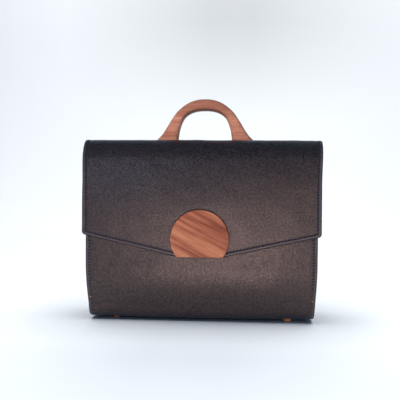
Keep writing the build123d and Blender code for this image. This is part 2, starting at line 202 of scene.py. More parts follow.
def grid_faces(rows, columns, start=0, flip=False):
    """Quads over a grid of points that begins at start."""
    faces = []
    for r in range(rows - 1):
        for c in range(columns - 1):
            a = start + r * columns + c
            quad = (a, a + 1, a + columns + 1, a + columns)
            faces.append(quad[::-1] if flip else quad)
    return faces


def rim_faces(rows, columns, other):
    """Quads that join the border of a grid to that of an equal grid which begins at other."""
    loop = list(range(columns))
    loop += [r * columns + columns - 1 for r in range(1, rows)]
    loop += [(rows - 1) * columns + c for c in range(columns - 2, -1, -1)]
    loop += [r * columns for r in range(rows - 2, 0, -1)]
    pairs = zip(loop, loop[1:] + loop[:1])
    return [(a, b, other + b, other + a) for a, b in pairs]


def tube_faces(rings, sides, start=0):
    """Quads round a stack of rings of points that begins at start, and a face over each end."""
    faces = []
    for k in range(rings - 1):
        for j in range(sides):
            a = start + k * sides + j
            b = start + k * sides + (j + 1) % sides
            faces.append((a, b, b + sides, a + sides))
    faces.append(tuple(start + j for j in range(sides))[::-1])
    faces.append(tuple(start + (rings - 1) * sides + j for j in range(sides)))
    return faces


def ramp(value, low, high):
    """0 below low, 1 above high, and smooth between."""
    t = np.clip((value - low) / (high - low), 0, 1)
    return t * t * (3 - 2 * t)


def bump(value, centre, width):
    """A smooth bump of height 1."""
    return np.exp(-(((value - centre) / width) ** 2))


def waves(seed, x, s, longest, shortest):
    """A smooth random field of about -1 to 1, the same one for the same seed."""
    count = 9
    draw = random.Random(seed)
    total = np.zeros_like(x)
    for _ in range(count):
        length = draw.uniform(shortest, longest)
        angle = draw.uniform(0, math.pi)
        phase = draw.uniform(0, 2 * math.pi)
        run = x * math.cos(angle) + s * math.sin(angle)
        total += np.sin(2 * math.pi * run / length + phase)
    return total / math.sqrt(count)


class Route:
    """Straights and arcs in the (y, z) plane, walked with the outside on the right."""

    def __init__(self, *pieces):
        self.pieces = pieces
        self.lengths = [self._length(piece) for piece in pieces]
        self.length = sum(self.lengths)

    @staticmethod
    def _length(piece):
        if piece[0] == "line":
            return math.dist(piece[1], piece[2])
        return piece[2] * math.radians(abs(piece[4] - piece[3]))

    def at(self, s):
        """Positions and outward normals, as four arrays y, z, ny, nz."""
        s = np.asarray(s, float)
        starts = np.concatenate([[0.0], np.cumsum(self.lengths)[:-1]])
        index = np.clip(np.searchsorted(starts, s, side="right") - 1, 0, len(starts) - 1)
        out = [np.zeros_like(s) for _ in range(4)]
        for i, (piece, length) in enumerate(zip(self.pieces, self.lengths)):
            here = index == i
            t = (s[here] - starts[i]) / length
            if piece[0] == "line":
                (y0, z0), (y1, z1) = piece[1], piece[2]
                dy, dz = (y1 - y0) / length, (z1 - z0) / length
                values = y0 + t * (y1 - y0), z0 + t * (z1 - z0), dz + 0 * t, -dy + 0 * t
            else:
                _, (cy, cz), radius, first, second = piece
                angle = np.radians(first + t * (second - first))
                ny, nz = np.cos(angle), np.sin(angle)
                values = cy + radius * ny, cz + radius * nz, ny, nz
            for array, value in zip(out, values):
                array[here] = value
        return out


NOT_ROUNDED = 9.0  # a distance to the edge at which a sheet has its full thickness


def edge_round(d, thickness):
    """How far each face of a sheet turns in, near an edge, so that the edge is round."""
    r = thickness / 2
    inside = np.clip(d, 0, r)
    return r - np.sqrt(np.maximum(r * r - (r - inside) ** 2, 0))


def sheet_points(route, x, s, depth):
    """Points at a depth below a route's outside."""
    y, z, ny, nz = route.at(s)
    return np.stack([x, y - ny * depth, z - nz * depth], axis=-1)


def add_sheet(name, outer, inner, material):
    """A closed sheet from the equal grids of points of its two faces."""
    rows, columns = outer.shape[:2]
    count = rows * columns
    faces = grid_faces(rows, columns) + grid_faces(rows, columns, count, flip=True)
    faces += rim_faces(rows, columns, count)
    points = np.concatenate([outer.reshape(-1, 3), inner.reshape(-1, 3)])
    return add_object(name, points, faces, material, soft=True)


def build_sheet(name, route, x, s, d, thickness, top, under, material, floor=None):
    """A closed sheet over a grid of (x, s). top and under are how far each face stands out."""
    turn = edge_round(d, thickness)
    outer = sheet_points(route, x, s, turn - top)
    inner = sheet_points(route, x, s, thickness - turn - under)
    if floor is not None:
        outer[..., 2] = np.maximum(outer[..., 2], floor)
        inner[..., 2] = np.maximum(inner[..., 2], floor + thickness)
    return add_sheet(name, outer, inner, material)


def paint_edges(obj, values):
    """Stores a number per vertex that the leather and wood materials read as edge wear, painted sheen
    and painted shade.
    """
    layer = obj.data.attributes.new("wear_sheen_and_shade", "FLOAT", "POINT")
    layer.data.foreach_set("value", np.asarray(values, np.float32))


def nearest_values(obj, points_mm, values):
    """The values of the points that lie nearest to an object's vertices."""
    tree = KDTree(len(points_mm))
    for i, point in enumerate(points_mm):
        tree.insert(tuple(point * MM), i)
    tree.balance()
    return [values[tree.find(v.co)[1]] for v in obj.data.vertices]


def spaced(low, high, step):
    """Evenly spaced values from low to high, about a step apart."""
    return np.linspace(low, high, max(2, int(round((high - low) / step)) + 1))


# Distances from an edge, close together where the edge is round and where its seam lies.
BORDER = np.array([
    0, 0.08, 0.25, 0.5, 0.8, 1.15, 1.8, 2.7, 3.5, 4.1, 4.6, 5.1, 5.6, 6.1, 6.6, 7.2, 8.4, 10.4,
])
PAST_BORDER = 13  # where the even part of a grid begins
GRID_STEP = 2.6


def width_columns(half, step=GRID_STEP):
    """Columns over the width, close together near both side edges."""
    inner = spaced(-half + PAST_BORDER, half - PAST_BORDER, step)
    return np.concatenate([-half + BORDER, inner, (half - BORDER)[::-1]])


def bordered(length, border=BORDER, past=PAST_BORDER, step=GRID_STEP):
    """Rows from 0 to length, close together near both ends."""
    return np.concatenate([border, spaced(past, length - past, step), length - border[::-1]])


def seam_relief(d, inset, depth=0.45):
    """The groove that a stitch line pulls into leather, and the fuller band outside it."""
    groove = -depth * bump(d, inset, 0.85)
    band = 0.22 * ramp(d, 0.8, 2.2) * (1 - ramp(d, inset - 2.0, inset - 0.6))
    pull = -0.16 * bump(d, inset + 2.0, 2.0)
    return groove + band + pull


def build_stitches(
    name, lines, material, radius=STITCH_RADIUS, pitch=STITCH_PITCH, share=0.74, slant=0.22
):
    """Thread as short rounded stitches whose ends go down into their holes.

    Each line is a pair of arrays: points on the leather, and outward normals. share is how
    much of the pitch a stitch covers, and slant how far it turns across the line.
    """
    points, faces = [], []
    rings, sides = 7, 6
    for line, normals in lines:
        runs = np.linalg.norm(np.diff(line, axis=0), axis=1)
        reach = np.concatenate([[0], np.cumsum(runs)])
        count = max(1, int(reach[-1] / pitch))
        step = reach[-1] / count
        for i in range(count):
            marks = (i + 0.5 + share * np.array([-0.5, 0, 0.5])) * step
            spots = np.stack([np.interp(marks, reach, line[:, k]) for k in range(3)], -1)
            up = np.array([np.interp(marks[1], reach, normals[:, k]) for k in range(3)])
            up /= np.linalg.norm(up)
            along = spots[2] - spots[0]
            side = np.cross(up, along)
            side /= np.linalg.norm(side)
            half = along / 2 + side * slant * step
            faces += tube_faces(rings, sides, len(points))
            for k in range(rings):
                t = -1 + 2 * k / (rings - 1)
                centre = spots[1] + half * t + up * (STITCH_LIFT - STITCH_DIP * abs(t) ** 3)
                size = radius * (1 - 0.55 * abs(t) ** 4)
                for j in range(sides):
                    a = 2 * math.pi * j / sides
                    points.append(centre + size * (side * math.cos(a) + up * math.sin(a)))
    return add_object(name, points, faces, material, soft=True)


def on_route(route, x, s, top=0.0):
    """A line on a route's outside for build_stitches, from arrays of x and s."""
    x, s = np.broadcast_arrays(np.asarray(x, float), np.asarray(s, float))
    _, _, ny, nz = route.at(s)
    normals = np.stack([np.zeros_like(ny), ny, nz], axis=-1)
    return sheet_points(route, x, s, -np.asarray(top) * np.ones_like(s)), normals


# ---------------------------------------------------------------- materials


class Shader:
    """A material's node tree, with short calls for the nodes used here."""

    def __init__(self, name):
        self.material = bpy.data.materials.new(name)
        self.material.use_nodes = True
        self.nodes = self.material.node_tree.nodes
        self.links = self.material.node_tree.links
        self.bsdf = self.nodes["Principled BSDF"]
        self.place = self.nodes.new("ShaderNodeTexCoord").outputs["Object"]

    def put(self, socket, value):
        """Links a node's output to a socket, or sets the socket's value."""
        if isinstance(value, bpy.types.NodeSocket):
            self.links.new(value, socket)
        else:
            socket.default_value = (*value, 1) if socket.type == "RGBA" else value

    def node(self, kind, inputs=None, **settings):
        made = self.nodes.new(kind)
        for key, value in settings.items():
            setattr(made, key, value)
        for key, value in (inputs or {}).items():
            self.put(made.inputs[key], value)
        return made

    def mapped(self, scale, rotation=(0, 0, 0), vector=None):
        inputs = {"Vector": vector or self.place, "Scale": scale, "Rotation": rotation}
        return self.node("ShaderNodeMapping", inputs).outputs["Vector"]

    def noise(self, scale, detail=4.0, rough=0.55, distortion=0.0, vector=None):
        inputs = {
            "Vector": vector or self.place, "Scale": scale,
            "Detail": detail, "Roughness": rough, "Distortion": distortion,
        }
        return self.node("ShaderNodeTexNoise", inputs).outputs["Fac"]

    def cells(self, scale):
        inputs = {"Vector": self.place, "Scale": scale}
        return self.node("ShaderNodeTexVoronoi", inputs).outputs["Distance"]

    def wave(self, scale, distortion=0.0, vector=None, **settings):
        inputs = {"Vector": vector or self.place, "Scale": scale, "Distortion": distortion}
        return self.node("ShaderNodeTexWave", inputs, **settings).outputs["Fac"]

    def math(self, operation, a, b=0.0, clamp=False):
        inputs = {0: a, 1: b}
        return self.node("ShaderNodeMath", inputs, operation=operation, use_clamp=clamp).outputs[0]

    def total(self, *parts):
        """The sum of values, each one given with its share."""
        terms = [self.math("MULTIPLY", value, share) for value, share in parts]
        made = terms[0]
        for term in terms[1:]:
            made = self.math("ADD", made, term)
        return made

    def stretch(self, value, low, high, to_low=0.0, to_high=1.0):
        inputs = {"Value": value, 1: low, 2: high, 3: to_low, 4: to_high}
        return self.node("ShaderNodeMapRange", inputs).outputs["Result"]

    def ramp(self, value, *stops):
        made = self.node("ShaderNodeValToRGB", {"Fac": value})
        elements = made.color_ramp.elements
        while len(elements) < len(stops):
            elements.new(0.5)
        for element, (position, colour) in zip(elements, stops):
            element.position = position
            element.color = (*colour, 1)
        return made.outputs["Color"]

    def mix(self, fac, a, b):
        made = self.node("ShaderNodeMix", data_type="RGBA")
        for index, value in ((0, fac), (6, a), (7, b)):
            self.put(made.inputs[index], value)
        return made.outputs[2]

    def attribute(self, name):
        return self.node("ShaderNodeAttribute", attribute_name=name).outputs["Fac"]

    def bump(self, height, strength, distance, normal=None):
        inputs = {"Height": height, "Strength": strength, "Distance": distance}
        if normal is not None:
            inputs["Normal"] = normal
        return self.node("ShaderNodeBump", inputs).outputs["Normal"]

    def set(self, **values):
        """Principled inputs by name, with _ for a space; a socket is linked."""
        for key, value in values.items():
            self.put(self.bsdf.inputs[key.replace("_", " ")], value)
        return self.material


# Colour of the band outside a stitch line: partly edge wear, partly painted sheen.
RUBBED_AND_SHEEN_LEATHER = (0.06, 0.052, 0.066)
# Colour of the stitch groove: painted shade in the recess.
GROOVE_SHADE_LEATHER = (0.003, 0.004, 0.009)


def leather_material(name, dark, light, wear_sheen_and_shade_painted=True):
    """Waxed leather with a short nap: fine pebble, fibre flecks and cloudy colour."""
    m = Shader(name)
    cloud = m.noise(14, 3, 0.6)
    mottle = m.noise(95, 5, 0.65)
    fleck = m.noise(340, 3, 0.75)
    tone = m.total((cloud, 0.5), (mottle, 0.5), (m.math("SUBTRACT", fleck, 0.5), 5.4))
    colour = m.ramp(tone, (0.28, dark), (0.72, light))
    pebble = m.noise(480, 2, 0.5)
    fine = m.noise(1100, 2, 0.6)
    grain = m.total((pebble, 0.8), (fine, 0.6), (fleck, 0.45))
    crease = m.noise(60, 4, 0.6, 0.6)
    normal = m.bump(crease, 0.08, 0.0006)
    normal = m.bump(grain, 0.8, 0.0005, normal)
    rough = m.stretch(mottle, 0.3, 0.7, 0.35, 0.42)
    rough = m.math("ADD", rough, m.stretch(fleck, 0.35, 0.65, 0.08, -0.08))
    # Edge wear with painted sheen outside the stitches, and painted shade in the grooves and on the cut
    # edge.
    if wear_sheen_and_shade_painted:
        wear_sheen_and_shade = m.attribute("wear_sheen_and_shade")
        # The band outside a stitch line: partly edge wear, partly painted sheen.
        rubbed_and_sheen = m.math("MULTIPLY", m.stretch(wear_sheen_and_shade, 0.0, 1.0), m.stretch(mottle, 0.3, 0.6, 0.5, 1.0))
        colour = m.mix(m.math("MULTIPLY", rubbed_and_sheen, 0.45, clamp=True), colour, RUBBED_AND_SHEEN_LEATHER)
        # Painted shade in the stitch groove and under the cut edge.
        groove = m.stretch(wear_sheen_and_shade, 0.0, -1.0)
        colour = m.mix(m.math("MULTIPLY", groove, 0.9, clamp=True), colour, GROOVE_SHADE_LEATHER)
        rough = m.math("ADD", rough, m.stretch(wear_sheen_and_shade, -0.9, 0.0, 0.55, 0.0), clamp=True)
        rough = m.math("ADD", rough, m.stretch(wear_sheen_and_shade, 0.0, 1.0, 0.0, 0.12), clamp=True)
    return m.set(
        Base_Color=colour,
        Roughness=rough,
        Normal=normal,
        IOR=1.6,
        Specular_Tint=(1.0, 0.76, 0.72),
        Sheen_Weight=0.1,
        Sheen_Roughness=0.4,
        Sheen_Tint=(0.5, 0.65, 1.0),
    )


def wood_material(name, dark, mid, light, spin, broad_scale=85.0, contrast=1.0, crest_shade_painted=False):
    """Oiled red-brown wood: broad and narrow bands, fibres along the grain and open pores."""
    m = Shader(name)
    along = m.mapped((0.045, 1, 1), vector=m.mapped((1, 1, 1), spin))
    broad = m.noise(broad_scale, 2, 0.5, 0.4, vector=along)
    narrow = m.noise(broad_scale * 3.6, 3, 0.6, vector=along)
    fibre = m.noise(1500, 4, 0.65, vector=along)
    tone = m.total((broad, 0.55), (narrow, 0.45), (m.math("SUBTRACT", fibre, 0.5), 0.22))
    reach = 0.13 / contrast
    colour = m.ramp(tone, (0.5 - reach, dark), (0.5, mid), (0.5 + reach, light))
    pore = m.stretch(m.noise(2200, 2, 0.5, vector=along), 0.6, 0.7)
    colour = m.mix(m.math("MULTIPLY", pore, 0.45), colour, dark)
    # Painted shade on the handle's crest, darkest on its underside.
    if crest_shade_painted:
        painted_crest_shade = m.math("MULTIPLY", m.attribute("wear_sheen_and_shade"), 0.8, clamp=True)
        colour = m.mix(painted_crest_shade, colour, tuple(0.4 * c for c in dark))
    height = m.math("SUBTRACT", fibre, m.math("MULTIPLY", pore, 0.8))
    return m.set(
        Base_Color=colour,
        Roughness=m.stretch(narrow, 0.3, 0.7, 0.42, 0.56),
        Normal=m.bump(height, 0.3, 0.0003),
        Specular_IOR_Level=0.3,
    )


def fabric_material(name, dark, light):
    """Plain woven cotton: crossing threads with slubs."""
    m = Shader(name)
    warp, weft, depth = (m.wave(420.0, 0.6, bands_direction=axis) for axis in "XZY")
    weave = m.math("MULTIPLY", m.math("MAXIMUM", warp, 0.2), m.math("MAXIMUM", weft, 0.2))
    weave = m.math("ADD", weave, m.math("MULTIPLY", depth, 0.25))
    slub = m.noise(180, 3, 0.6)
    tone = m.total((weave, 0.5), (slub, 0.5))
    return m.set(
        Base_Color=m.ramp(tone, (0.2, dark), (0.8, light)),
        Roughness=m.stretch(slub, 0.3, 0.7, 0.82, 0.95),
        Normal=m.bump(weave, 0.5, 0.0003),
        Sheen_Weight=0.3,
    )


def thread_material(name, dark, light):
    """Waxed thread, twisted."""
    m = Shader(name)
    twist = m.wave(700.0, vector=m.mapped((1, 1, 1), (0.6, 0.5, 0.7)))
    return m.set(
        Base_Color=m.ramp(twist, (0.0, dark), (1.0, light)),
        Roughness=m.stretch(twist, 0, 1, 0.6, 0.42),
        Normal=m.bump(twist, 0.6, 0.0002),
    )


def metal_material(name, dark, light, rough):
    """Metal with fine scratches and a little tarnish."""
    m = Shader(name)
    scratched = m.noise(900, 4, 0.7, vector=m.mapped((0.08, 1, 1), (0.2, 0.4, 0.3)))
    tarnish = m.noise(160, 4, 0.6)
    tone = m.total((tarnish, 0.7), (scratched, 0.3))
    return m.set(
        Base_Color=m.ramp(tone, (0.3, dark), (0.7, light)),
        Metallic=1.0,
        Roughness=m.stretch(scratched, 0.3, 0.7, rough, rough + 0.16),
        Normal=m.bump(scratched, 0.15, 0.0001),
    )


def board_material():
    """Grey-brown fibre board with flecks."""
    m = Shader("fibre_board")
    fibre = m.noise(500, 4, 0.7)
    tone = m.total((fibre, 0.7), (m.cells(700), 0.4))
    return m.set(
        Base_Color=m.ramp(tone, (0.3, (0.17, 0.13, 0.1)), (0.7, (0.36, 0.3, 0.23))),
        Roughness=m.stretch(fibre, 0.3, 0.7, 0.8, 0.95),
        Normal=m.bump(fibre, 0.3, 0.0003),
    )


LEATHER = leather_material("leather", (0.001, 0.001, 0.002), (0.0185, 0.013, 0.0135))
FACING_LEATHER = leather_material(
    "facing_leather", (0.03, 0.018, 0.014), (0.09, 0.055, 0.042), wear_sheen_and_shade_painted=False
)
SUEDE = fabric_material("flap_lining_cloth", (0.05, 0.035, 0.03), (0.13, 0.09, 0.075))
LINING = fabric_material("lining_cloth", (0.10, 0.07, 0.055), (0.25, 0.19, 0.145))
DISC_WOOD = wood_material(
    "disc_wood", (0.20, 0.051, 0.026), (0.385, 0.120, 0.063), (0.54, 0.215, 0.113),
    (0, math.radians(-27), 0),
)
HANDLE_WOOD = wood_material(
    "handle_wood", (0.36, 0.125, 0.074), (0.54, 0.215, 0.134), (0.70, 0.31, 0.20),
    (0, math.radians(3), 0), broad_scale=150.0, contrast=0.85, crest_shade_painted=True,
)
FOOT_WOOD = wood_material(
    "foot_wood", (0.2, 0.07, 0.03), (0.42, 0.16, 0.07), (0.55, 0.25, 0.12), (0, 1.2, 0.3), contrast=0.6
)
THREAD = thread_material("waxed_thread", (0.005, 0.006, 0.014), (0.020, 0.024, 0.046))
PALE_THREAD = thread_material("seam_thread", (0.016, 0.018, 0.028), (0.045, 0.05, 0.07))
STEEL = metal_material("plated_steel", (0.35, 0.35, 0.36), (0.62, 0.62, 0.63), 0.28)
COPPER = metal_material("copper", (0.30, 0.14, 0.07), (0.52, 0.28, 0.16), 0.34)
BOARD = board_material()


# ---------------------------------------------------------------- routes

FLAP_ROUTE = Route(
    ("line", (FLAP_BACK, TAB_LOW[2]), (FLAP_BACK, FLAP_TOP - FLAP_BACK_RADIUS)),
    ("arc", (FLAP_BACK - FLAP_BACK_RADIUS, FLAP_TOP - FLAP_BACK_RADIUS), FLAP_BACK_RADIUS, 0, 90),
    ("line", (FLAP_BACK - FLAP_BACK_RADIUS, FLAP_TOP), (FLAP_FRONT + FLAP_FRONT_RADIUS, FLAP_TOP)),
    ("arc", (FLAP_FRONT + FLAP_FRONT_RADIUS, FLAP_TOP - FLAP_FRONT_RADIUS), FLAP_FRONT_RADIUS, 90, 180),
    ("line", (FLAP_FRONT, FLAP_TOP - FLAP_FRONT_RADIUS), (FLAP_FRONT, FLAP_TIP)),
)
FLAP_LENGTH = FLAP_ROUTE.length
FLAP_MIDDLE = (
    FLAP_ROUTE.lengths[0] + FLAP_ROUTE.lengths[1] + FLAP_BACK - FLAP_BACK_RADIUS - HANDLE_MIDDLE
)

_turn = math.radians(BELLY_ANGLE)
BELLY_HEIGHT = (
    BODY_BASE + FRONT_BASE_RADIUS * (1 - math.sin(_turn)) + BELLY_RADIUS * math.sin(_turn)
)
FRONT_BASE_Y = BODY_FRONT + BELLY_RADIUS * (1 - math.cos(_turn)) + FRONT_BASE_RADIUS * math.cos(_turn)
BACK_BASE_Y = BODY_BACK - BACK_BASE_RADIUS
BODY_ROUTE = Route(
    ("line", (BODY_FRONT, BODY_MOUTH), (BODY_FRONT, BELLY_HEIGHT)),
    ("arc", (BODY_FRONT + BELLY_RADIUS, BELLY_HEIGHT), BELLY_RADIUS, 180, 180 + BELLY_ANGLE),
    ("arc", (FRONT_BASE_Y, BODY_BASE + FRONT_BASE_RADIUS), FRONT_BASE_RADIUS, 180 + BELLY_ANGLE, 270),
    ("line", (FRONT_BASE_Y, BODY_BASE), (BACK_BASE_Y, BODY_BASE)),
    ("arc", (BACK_BASE_Y, BODY_BASE + BACK_BASE_RADIUS), BACK_BASE_RADIUS, 270, 360),
    ("line", (BODY_BACK, BODY_BASE + BACK_BASE_RADIUS), (BODY_BACK, BACK_MOUTH)),
)


# ---------------------------------------------------------------- flap


def flap_outline_height(x, margin=0.0):
    """The developed height of the flap's lower edge at x, pulled in by a margin."""
    x = np.abs(x)
    tip_half = FLAP_TIP_HALF - margin * (FLAP_STEEP - 1) / FLAP_SLOPE
    low = FLAP_TIP + margin
    height = low + np.maximum(x - tip_half, 0) * FLAP_SLOPE
    centre_x = FLAP_HALF - margin - FLAP_CORNER
    centre_z = low + (centre_x - tip_half) * FLAP_SLOPE + FLAP_CORNER * FLAP_STEEP
    tangent = centre_x + FLAP_CORNER * FLAP_SLOPE / FLAP_STEEP
    reach = np.clip(x - centre_x, -FLAP_CORNER, FLAP_CORNER)
    corner = centre_z - np.sqrt(np.maximum(FLAP_CORNER**2 - reach**2, 0))
    return np.where(x > tangent, corner, height)


def flap_edge_distance(x, height, margin=0.0):
    """How far a point of the developed flap is from its side or lower edge."""
    x = np.abs(x)
    side = FLAP_HALF - x
    tip = height - FLAP_TIP
    slant = (tip - (x - FLAP_TIP_HALF) * FLAP_SLOPE) / FLAP_STEEP
    d = np.minimum(np.minimum(side, tip), slant)
    centre_x = FLAP_HALF - FLAP_CORNER
    centre_z = FLAP_TIP + (centre_x - FLAP_TIP_HALF) * FLAP_SLOPE + FLAP_CORNER * FLAP_STEEP
    dx, dz = x - centre_x, centre_z - height
    wedge = (dx > 0) & (dz > 0) & (dx > dz * FLAP_SLOPE)
    d = np.where(wedge, np.minimum(d, FLAP_CORNER - np.hypot(dx, dz)), d)
    return d - margin


def flap_relief(x, s):
    """Slow unevenness of the flap's leather, calm under the disc and the handle."""
    height = FLAP_TIP + FLAP_LENGTH - s
    soft = 0.32 * waves(11, x, s, 170, 70) + 0.14 * waves(12, x, s, 60, 26)
    disc = np.hypot(x, height - DISC_CENTRE)
    calm = ramp(disc, DISC_RADIUS - 4, DISC_RADIUS + 30)
    over_handle = np.maximum(np.abs(x) - HANDLE_HIGH[0], 0) + np.abs(s - FLAP_MIDDLE)
    calm = calm * ramp(over_handle, 14, 45)
    return soft * calm


def flap_grid(half, rear, margin=0.0):
    """The (x, s) grid of the rear or the front length of the flap, and its edge distances."""
    columns = width_columns(half)
    if rear:
        even = spaced(margin + PAST_BORDER, FLAP_MIDDLE, GRID_STEP)
        rows = np.concatenate([margin + BORDER, even])
        x, s = np.meshgrid(columns, rows)
        d = np.minimum(FLAP_HALF - np.abs(x), s) - margin
        return x, s, d
    knee = FLAP_LENGTH - 60.0  # past here the rows turn to follow the lower edge
    upper = spaced(FLAP_MIDDLE, knee, GRID_STEP)
    outline = flap_outline_height(columns, margin)
    end = FLAP_LENGTH - (outline - FLAP_TIP)
    lower = np.linspace(0, 1, 22)[1:-1, None]
    middle = knee + (end - PAST_BORDER - knee) * lower
    edge = end - BORDER[::-1, None]
    top = np.repeat(upper[:, None], len(columns), axis=1)
    s = np.concatenate([top, middle, edge])
    x = np.repeat(columns[None, :], len(s), axis=0)
    height = FLAP_TIP + FLAP_LENGTH - s
    return x, s, np.maximum(flap_edge_distance(x, height, margin), 0)


def make_flap_leather(name, rear):
    """Half of the flap's leather, from the middle of the top to one end."""
    x, s, d = flap_grid(FLAP_HALF, rear)
    relief = flap_relief(x, s)
    top = relief + seam_relief(d, FLAP_STITCH_INSET)
    return build_sheet(name, FLAP_ROUTE, x, s, d, FLAP_LEATHER, top, relief, LEATHER)


def paint_wear_sheen_and_shade(obj, distance, inset, reach=1.3, depth=None):
    """Paints a band outside a stitch line (edge wear and painted sheen), painted shade in its groove,
    and a dark cut edge (edge paint and painted shade).
    """
    points = np.array([v.co for v in obj.data.vertices]) / MM
    d = distance(points)
    # A lighter band outside the stitch line: partly edge wear, partly painted sheen.
    band = ramp(d, 0.5, 1.6) * (1 - ramp(d, inset - 1.9, inset - 0.9))
    # Painted shade in the stitch groove.
    groove = bump(d, inset, reach) * (depth(points) if depth else 0.9)
    across = np.abs(before_spread(points))
    from_side = across.max() - across
    # The cut edge is darkened: partly dark edge paint, partly painted shade under the edge.
    edge = (1 - ramp(d, 1.0, 2.0)) * (0.3 + 0.7 * ramp(from_side, 1.5, 3.5))
    paint_edges(obj, band - groove - 1.6 * edge)


def flap_distance_of(points):
    """Edge distance of points on the flap, from where they are in space."""
    y, z = points[:, 1], points[:, 2]
    front = y < HANDLE_MIDDLE
    arc_y, arc_z = FLAP_FRONT + FLAP_FRONT_RADIUS, FLAP_TOP - FLAP_FRONT_RADIUS
    turn = np.arctan2(np.maximum(z - arc_z, 0), np.maximum(arc_y - y, 1e-6))
    developed = np.where(z > arc_z, arc_z + turn * FLAP_FRONT_RADIUS, z)
    developed = np.where(y > arc_y, arc_z + 60, developed)
    x = before_spread(points)
    d_front = flap_edge_distance(x, developed)
    side = FLAP_HALF - np.abs(x)
    d_rear = np.minimum(side, np.where(y > FLAP_BACK - FLAP_BACK_RADIUS, z - TAB_LOW[2], 99.0))
    return np.where(front, d_front, d_rear)


def flap_stitch_lines(rear):
    """Where the thread runs along the flap's edges."""
    inset = FLAP_STITCH_INSET
    lines = []
    for sign in (-1, 1):
        if rear:
            s = np.arange(inset + 1, FLAP_MIDDLE, 1.0)
            lines.append((sign * (FLAP_HALF - inset) + 0 * s, s))
            continue
        corner = FLAP_TIP + (FLAP_HALF - inset - FLAP_TIP_HALF) * FLAP_SLOPE + inset * FLAP_STEEP
        s = np.arange(FLAP_MIDDLE, FLAP_LENGTH - (corner - FLAP_TIP), 1.0)
        lines.append((sign * (FLAP_HALF - inset) + 0 * s, s))
        x = np.arange(FLAP_HALF - inset, 41.5, -1.0)
        height = FLAP_TIP + (x - FLAP_TIP_HALF) * FLAP_SLOPE + inset * FLAP_STEEP
        lines.append((sign * x, FLAP_LENGTH - (height - FLAP_TIP)))
    if rear:
        x = np.arange(-FLAP_HALF + inset, FLAP_HALF - inset, 1.0)
        lines.append((x, inset + 0 * x))
    return [on_route(FLAP_ROUTE, x, s, flap_relief(x, s) - 0.35) for x, s in lines]


def make_flap_lining(name, rear):
    """Half of the cloth that lines the flap."""
    half = FLAP_HALF - FLAP_LINING_MARGIN
    x, s, d = flap_grid(half, rear, FLAP_LINING_MARGIN)
    relief = flap_relief(x, s) - FLAP_LINING_INSET
    ripple = 0.08 * waves(21, x, s, 40, 14)
    return build_sheet(name, FLAP_ROUTE, x, s, d, FLAP_LINING, relief, relief + ripple, SUEDE)


def bend_flap(obj):
    """Bakes a piece of the flap's world placement into its mesh."""
    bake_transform(obj)


def make_flap():
    """The flap's leather, lining and thread, in a rear and a front half that meet on its top."""
    parts = (
        ("rear", True, ("flap_rear_panel", "flap_top_panel"), ("flap_rear_lining", "flap_top_lining")),
        ("front", False, ("flap_front_panel",), ("flap_front_lining",)),
    )
    for word, rear, leather_nodes, lining_nodes in parts:
        leather = make_flap_leather(f"flap_leather_{word}", rear)
        paint_wear_sheen_and_shade(leather, flap_distance_of, FLAP_STITCH_INSET)
        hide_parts(*leather_nodes)
        lining = make_flap_lining(f"flap_lining_{word}", rear)
        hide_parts(*lining_nodes)
        thread = build_stitches(f"flap_stitches_{word}", flap_stitch_lines(rear), THREAD)
        for piece in (leather, lining, thread):
            bend_flap(piece)


# ---------------------------------------------------------------- body


def width_share(z):
    """The body's width at a height, as a share of the full width."""
    return 1 - BODY_TAPER * (1 - ramp(z, TAPER_START, TAPER_END))


def body_taper(x, z):
    """The body draws in a little towards its base."""
    return x * width_share(z)


def body_relief(x, s):
    """The body's fullness: a soft belly below the flap and a base that hangs between the feet."""
    _, z, ny, nz = BODY_ROUTE.at(s)
    across = 1 - ramp(np.abs(x), 95, BODY_HALF - 8)
    front = ramp(-ny, 0.1, 0.8)
    belly = 2.2 * across * front * bump(z, 62, 44)
    back = 1.2 * across * ramp(ny, 0.3, 0.9) * bump(z, 110, 70)
    sag = 1.3 * (1 - ramp(np.abs(x), 60, 125)) * ramp(-nz, 0.5, 0.95)
    corner = 3.4 * (1 - 0.6 * x / BODY_HALF) * bump(-nz, 0.76, 0.24) * ramp(-ny, 0.0, 0.3)
    soft = 0.3 * waves(31, x, s, 150, 60) + 0.12 * waves(32, x, s, 55, 24)
    calm = ramp(BODY_HALF - np.abs(x), 2, 30) * (1 - 0.7 * ramp(z, 100, 150))
    return belly + back + sag + corner + soft * calm


